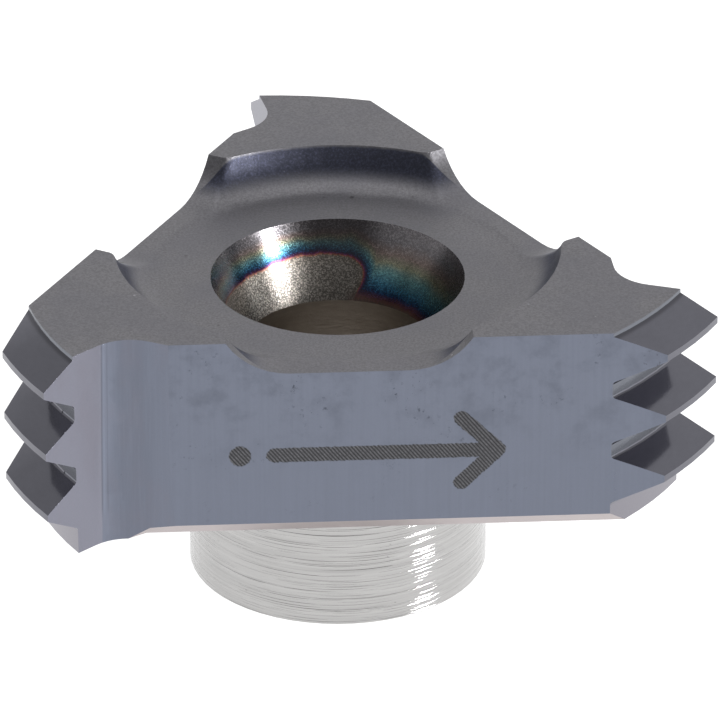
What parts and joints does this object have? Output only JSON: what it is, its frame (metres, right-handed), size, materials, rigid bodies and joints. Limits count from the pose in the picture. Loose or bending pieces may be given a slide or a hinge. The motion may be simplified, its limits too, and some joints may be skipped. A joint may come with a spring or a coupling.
{
  "type": "threading insert",
  "caption": "Star-shaped carbide threading insert with relieved thread teeth on each wing, a recessed countersunk screw hole and a round locating boss beneath.",
  "frame": {"origin": "on the screw hole's axis, in the plane of the locating boss's end face", "axes": "+Z along the screw hole towards the screw head's seat, -Y square to one of the side faces"},
  "size_m": [0.0157, 0.0143, 0.0079],
  "materials": {
    "carbide": "grey coated cemented carbide, matt as-sintered top, finely ground side faces and a bright ground boss"
  },
  "bodies": {
    "root": {"threading_insert": "carbide"}
  },
  "joints": []
}
